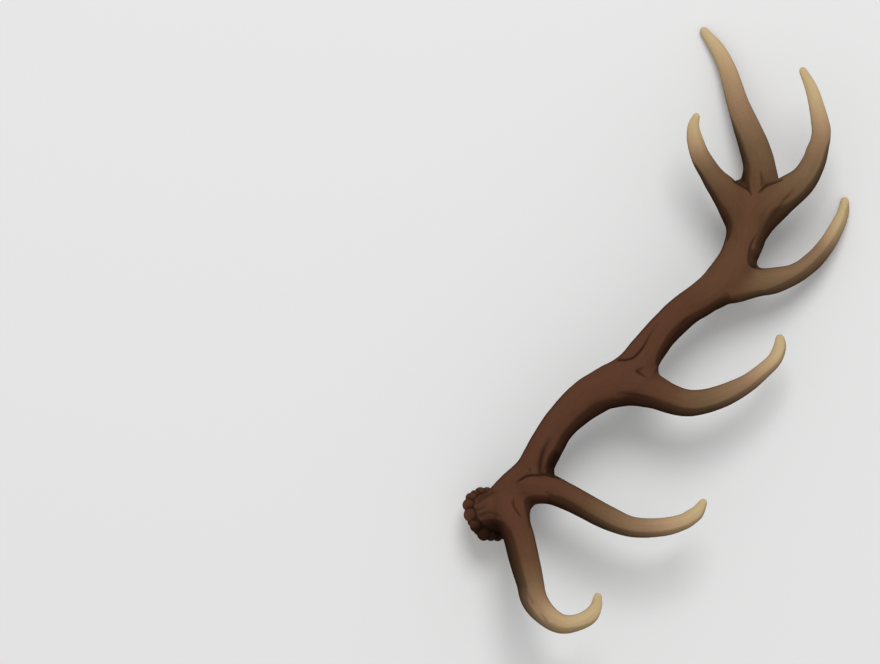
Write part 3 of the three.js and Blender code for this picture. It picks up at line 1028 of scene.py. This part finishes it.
def carve_skin(mesh, shape):
    """Cuts the creases, ridges and furrows. Gives the points' fits to the limbs and painted shade."""
    points, ends, normals = get_points(mesh), edge_ends(mesh), get_normals(mesh)
    fits = [limb_fit(points, limb) for limb in LIMBS.values()]
    weights = shares(np.stack([f["gap"] for f in fits]), CARVE_BLEND * MM)
    local, from_burr = burr_places(points)
    on_burr = (1 - fade(local[:, 2], RIDGES_START)) * (1 - fade(from_burr, RIDGES_EDGE))
    creases, dark = crease_depths(points, normals)
    ridges = sum(weight * waves(fit, 10 + i) for i, (weight, fit) in enumerate(zip(weights, fits)))
    slender = sum(weight * fit["half"] for weight, fit in zip(weights, fits)) / (STOUT * MM)
    rise = shape.ridge_depth * np.clip(slender, 0.25, 1.1) * ridges * (1 - 0.7 * on_burr)
    rise += shape.swell
    rise += shape.unevenness * lumps(points, 3) * np.clip(slender, 0.2, 1.0)
    crevices = burr_crevices(local)
    rise -= creases + burr_furrows(local, shape) + shape.crevice_depth * crevices
    set_points(mesh, smooth(points + normals * rise[:, None], ends, 0.3, 1))
    # The crevices round the burr's knobs add painted shade to the creases' darkness.
    return fits, np.maximum(dark, 0.85 * crevices)


def dress_skin(mesh, shape):
    """Webs the forks, carves the bone, and leaves on each point what the material needs."""
    web_skin(mesh, shape)
    refined(mesh, near_detail(get_points(mesh), get_normals(mesh)))
    fits, dark = carve_skin(mesh, shape)
    points, ends, normals = get_points(mesh), edge_ends(mesh), get_normals(mesh)
    gaps = np.stack([f["gap"] for f in fits])
    rubbed_and_painted_lit, painted_patch_shade = painted_shade_bands(points, normals, fits, shares(gaps, DARK_BLEND * MM))
    hollow = smooth(sag(points, ends, normals)[:, None], ends, 0.5, 2)[:, 0]
    fold = ((smooth(points, ends, 0.6, FOLD_ROUNDS) - points) * normals).sum(1)
    pale = np.zeros(len(points))
    for weight, fit, limb in zip(shares(gaps, PALE_BLEND * MM), fits, LIMBS.values()):
        pale += weight * np.interp(fit["share"], *zip(*limb["pale"]))
    first = gaps.argmin(0)
    turn = np.choose(first, [f["turn"] for f in fits])
    half = np.choose(first, [f["half"] for f in fits])
    run = np.choose(first, [f["along"] + GRAIN_SHIFT * i for i, f in enumerate(fits)])
    level = (points - np.array(MOUNT["pos_m"])) @ np.array(MOUNT["axis"])
    faces_out = ramp(normals @ np.array(MOUNT["axis"]), 0.75, 0.95)
    write_attribute(mesh, "pale", pale)
    # This attribute carries the painted shade of the creases, the burr's crevices and the patches.
    write_attribute(mesh, "crease", np.maximum(dark, painted_patch_shade))
    write_attribute(mesh, "hollow", np.clip(hollow / (FULL_HOLLOW * MM), -1, 1))
    write_attribute(mesh, "fold", np.clip(fold / (FULL_FOLD * MM), 0, 1))
    # Painted shade: how much brightness each point keeps, and how far its normal faces up, which
    # darkens flanks and underside.
    write_attribute(mesh, "rubbed_and_painted_lit", rubbed_and_painted_lit)
    write_attribute(mesh, "upward", normals[:, 2])
    write_attribute(mesh, "grain", np.stack([half * np.cos(turn), half * np.sin(turn), run], 1))
    write_attribute(mesh, "cast", faces_out * fade(level, CAST_START))


# ---- Material ----


class Shader(Nodes):
    """Short calls for one material's nodes."""

    def __init__(self, name):
        self.material = bpy.data.materials.new(name)
        self.material.use_nodes = True
        self.tree = self.material.node_tree
        self.skin = self.tree.nodes["Principled BSDF"].inputs

    def feed(self, socket, source):
        self.tree.links.new(source, self.skin[socket])

    def fix(self, socket, value):
        self.skin[socket].default_value = value

    def attribute(self, name, output="Fac"):
        return self.node("ShaderNodeAttribute", attribute_name=name).outputs[output]

    def noise(self, vector, scale, detail=3.0):
        made = self.node("ShaderNodeTexNoise", {
            "Vector": vector, "Scale": scale, "Detail": detail, "Roughness": 0.55})
        return made.outputs["Fac"]

    def math(self, operation, first, second=0.0, third=0.0):
        made = self.node("ShaderNodeMath", {0: first, 1: second, 2: third}, operation=operation)
        return made.outputs[0]

    def span(self, value, low, high, to_low=0.0, to_high=1.0):
        made = self.node("ShaderNodeMapRange", {
            "Value": value, "From Min": low, "From Max": high, "To Min": to_low, "To Max": to_high})
        return made.outputs[0]

    def mix(self, factor, first, second, blend="MIX"):
        # 0, 6 and 7 are the mix node's factor and its two colours, and 2 is the colour it gives.
        made = self.node(
            "ShaderNodeMix", {0: factor, 6: first, 7: second}, data_type="RGBA", blend_type=blend)
        return made.outputs[2]

    def stretched(self, vector, scale):
        made = self.node("ShaderNodeMapping", {"Vector": vector, "Scale": scale})
        return made.outputs[0]


def opaque(colour):
    return (*colour, 1.0)


def bone_colour(s, finish, pale):
    """Reddish brown through olive and dusty brown to khaki."""
    stops = s.node("ShaderNodeValToRGB", {"Fac": pale})
    bands = [
        (0.0, finish.beam_brown), (0.25, finish.crown_brown), (0.45, finish.olive_brown),
        (0.65, finish.dusty_brown), (0.82, finish.straw), (1.0, finish.tip_khaki),
    ]
    elements = stops.color_ramp.elements
    while len(elements) < len(bands):
        elements.new(0.5)
    for element, (place, colour) in zip(elements, bands):
        element.position = place
        element.color = opaque(colour)
    return stops.outputs["Color"]


# The fine patterns of the bone: how many cells there are to a metre, and how the lengthwise ones
# are drawn out along a limb. Then how far they shift the colour, and the height of the relief.
STREAK_SCALE, STREAK_STRETCH = 420.0, 0.09
BROAD_SCALE, BROAD_STRETCH = 95.0, 0.16
MOTTLE_SCALE = 26.0
PORE_SCALE = 900.0
COLOUR_DRIFT = 0.06
BUMP_HEIGHT = 0.5 * MM


def bone_material(finish):
    """Bone, as pale as the skin's attributes say, and as dark as the painted shade they carry."""
    s = Shader("antler_bone")
    place = s.node("ShaderNodeTexCoord").outputs["Object"]
    grain = s.attribute("grain", "Vector")
    streaks = s.noise(s.stretched(grain, (1.0, 1.0, STREAK_STRETCH)), STREAK_SCALE, 4.0)
    broad = s.noise(s.stretched(grain, (1.0, 1.0, BROAD_STRETCH)), BROAD_SCALE)
    mottle = s.noise(place, MOTTLE_SCALE)
    pores = s.noise(place, PORE_SCALE, 2.0)

    pale = s.attribute("pale")
    drift = s.math("MULTIPLY_ADD", s.math("SUBTRACT", mottle, 0.5), COLOUR_DRIFT, pale)
    drift = s.math("MULTIPLY_ADD", s.math("SUBTRACT", broad, 0.5), COLOUR_DRIFT, drift)
    colour = bone_colour(s, finish, drift)

    # Painted shade: the shaded side and the underside are darker, and less so towards the worn tips.
    worn = s.span(pale, 0.45, 1.0, 0.0, 0.42)
    keep = s.math("MULTIPLY_ADD", worn, 1.0 - finish.painted_shade_share, finish.painted_shade_share)
    painted_shaded = s.span(s.attribute("rubbed_and_painted_lit"), 0.0, 1.0, keep, 1.0)
    under = s.span(s.attribute("upward"), 0.0, 0.45, s.math("MULTIPLY_ADD", worn, 0.6, 0.35), 1.0)
    shade = s.math("MINIMUM", painted_shaded, under)
    shade = s.math("MULTIPLY", shade, s.span(streaks, 0.3, 0.7, 0.95, 1.05))
    # Painted shade in the skin's broad folds.
    shade = s.math("MULTIPLY", shade, s.span(s.attribute("fold"), 0.15, 1.0, 1.0, 0.55))
    colour = s.mix(1.0, colour, s.node("ShaderNodeCombineColor", {
        "Red": shade, "Green": shade, "Blue": shade}).outputs[0], "MULTIPLY")

    # Painted shade: creases, crevices, patches and hollows take on the dark shade brown.
    hollow = s.span(s.attribute("hollow"), 0.15, 1.0, 0.0, 0.8)
    painted_recess_shade = s.math("MULTIPLY", s.math("MAXIMUM", s.attribute("crease"), hollow), 0.85)
    colour = s.mix(painted_recess_shade, colour, opaque(finish.recess_brown))
    colour = s.mix(s.attribute("cast"), colour, opaque(finish.cast_cream))
    s.feed("Base Color", colour)

    gloss = s.span(streaks, 0.3, 0.7, finish.roughness - 0.06, finish.roughness + 0.1)
    gloss = s.math("MULTIPLY_ADD", painted_recess_shade, 0.2, gloss)
    s.feed("Roughness", gloss)
    s.fix("Specular IOR Level", 0.0)

    relief = s.math("MULTIPLY_ADD", broad, 0.5, s.math("MULTIPLY", streaks, 0.4))
    relief = s.math("MULTIPLY_ADD", pores, 0.18, relief)
    bump = s.node("ShaderNodeBump", {"Height": relief, "Strength": 0.35, "Distance": BUMP_HEIGHT})
    s.feed("Normal", bump.outputs[0])
    return s.material


def plain_material(name, colour, roughness):
    s = Shader(name)
    s.fix("Base Color", opaque(colour))
    s.fix("Roughness", roughness)
    s.fix("Specular IOR Level", 0.2)
    return s.material


# ---- Operators ----


class ANTLER_OT_grow(bpy.types.Operator):
    """Grows the whole antler as one seamless skin over its limbs and burr"""

    bl_idname = "antler.grow"
    bl_label = "Grow the antler"

    def execute(self, context):
        shape = context.scene.antler_shape
        material = bone_material(context.scene.antler_finish)
        sweep = limb_tree(material)
        parts = [limb_mesh(name, limb, sweep) for name, limb in LIMBS.items()]
        parts += [
            limb_mesh(name, {"stations": stations, "cap": 1.0, "depth": 1.0}, sweep)
            for name, stations in WEBS.items()]
        parts += burr_meshes(shape, burr_tree(material))
        skin = modified(
            "skin", joined(parts), "REMESH", {"mode": "VOXEL", "voxel_size": shape.voxel})
        skin.name = "antler"
        skin.materials.clear()
        skin.materials.append(material)
        dress_skin(skin, shape)
        skin.polygons.foreach_set("use_smooth", np.ones(len(skin.polygons), bool))
        antler = placed("antler", skin)
        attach(antler, "root")
        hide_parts(*LIMBS)
        return {"FINISHED"}


# The camera looks straight down on a field this wide, about this point of the design.
VIEW_WIDTH = 1100 * MM
VIEW_CENTRE = Vector((-270.6 * MM, -3.1 * MM, 60 * MM))
SENSOR = 36.0
CLIP_END = 100.0
# The key light's place from the middle of the antler, and its size, in metres.
KEY_PLACE = Vector((0.8, 5.5, 8.5))
KEY_SIZE = 5.0
FLOOR_REACH = 40.0


class ANTLER_OT_stage(bpy.types.Operator):
    """Lays the pale floor, and sets the light and the camera"""

    bl_idname = "antler.stage"
    bl_label = "Set the stage"

    def execute(self, context):
        stage = context.scene.antler_stage
        self.floor(stage)
        self.light(context, stage)
        self.camera(context, stage)
        context.scene.view_settings.view_transform = "Standard"
        return {"FINISHED"}

    def floor(self, stage):
        mesh = bpy.data.meshes.new("floor")
        corners = [
            (x * FLOOR_REACH, y * FLOOR_REACH, 0) for x, y in ((-1, -1), (1, -1), (1, 1), (-1, 1))]
        mesh.from_pydata(corners, [], [(0, 1, 2, 3)])
        mesh.materials.append(plain_material("floor_paper", stage.floor_colour, 0.9))
        floor = placed("floor", mesh)
        floor.location.z = cad_low.z

    def light(self, context, stage):
        lamp = bpy.data.lights.new("key", "AREA")
        lamp.shape = "DISK"
        lamp.size = KEY_SIZE
        lamp.energy = stage.key_power
        key = placed("key", lamp)
        key.location = (cad_low + cad_high) / 2 + KEY_PLACE
        key.rotation_euler = (-KEY_PLACE).to_track_quat("-Z", "Y").to_euler()
        key.visible_camera = False
        world = bpy.data.worlds.new("sky")
        world.use_nodes = True
        sky = world.node_tree.nodes["Background"]
        sky.inputs["Color"].default_value = (1.0, 1.0, 1.0, 1.0)
        sky.inputs["Strength"].default_value = stage.sky_strength
        context.scene.world = world

    def camera(self, context, stage):
        camera = bpy.data.cameras.new("camera")
        camera.sensor_width = SENSOR
        camera.lens = stage.lens
        camera.clip_end = CLIP_END
        holder = placed("camera", camera)
        away = VIEW_WIDTH * stage.lens / SENSOR
        holder.location = VIEW_CENTRE + SHIFT + Vector((0, 0, away))
        context.scene.camera = holder


GROUPS = {"antler_shape": AntlerShape, "antler_finish": AntlerFinish, "antler_stage": AntlerStage}


class ANTLER_PT_panel(bpy.types.Panel):
    """Lists the steps that build the antler"""

    bl_label = "Antler"
    bl_idname = "ANTLER_PT_panel"
    bl_space_type = "VIEW_3D"
    bl_region_type = "UI"
    bl_category = "Antler"

    def draw(self, context):
        for group in GROUPS:
            owner = getattr(context.scene, group)
            box = self.layout.box()
            for name in owner.__annotations__:
                box.prop(owner, name)
        self.layout.operator("antler.grow")
        self.layout.operator("antler.stage")


CLASSES = (*GROUPS.values(), ANTLER_OT_grow, ANTLER_OT_stage, ANTLER_PT_panel)


def register():
    for cls in CLASSES:
        bpy.utils.register_class(cls)
    for name, group in GROUPS.items():
        setattr(bpy.types.Scene, name, PointerProperty(type=group))


def unregister():
    for name in GROUPS:
        delattr(bpy.types.Scene, name)
    for cls in reversed(CLASSES):
        bpy.utils.unregister_class(cls)


def main():
    register()
    bpy.ops.antler.grow()
    bpy.ops.antler.stage()


if __name__ == "__main__":
    main()
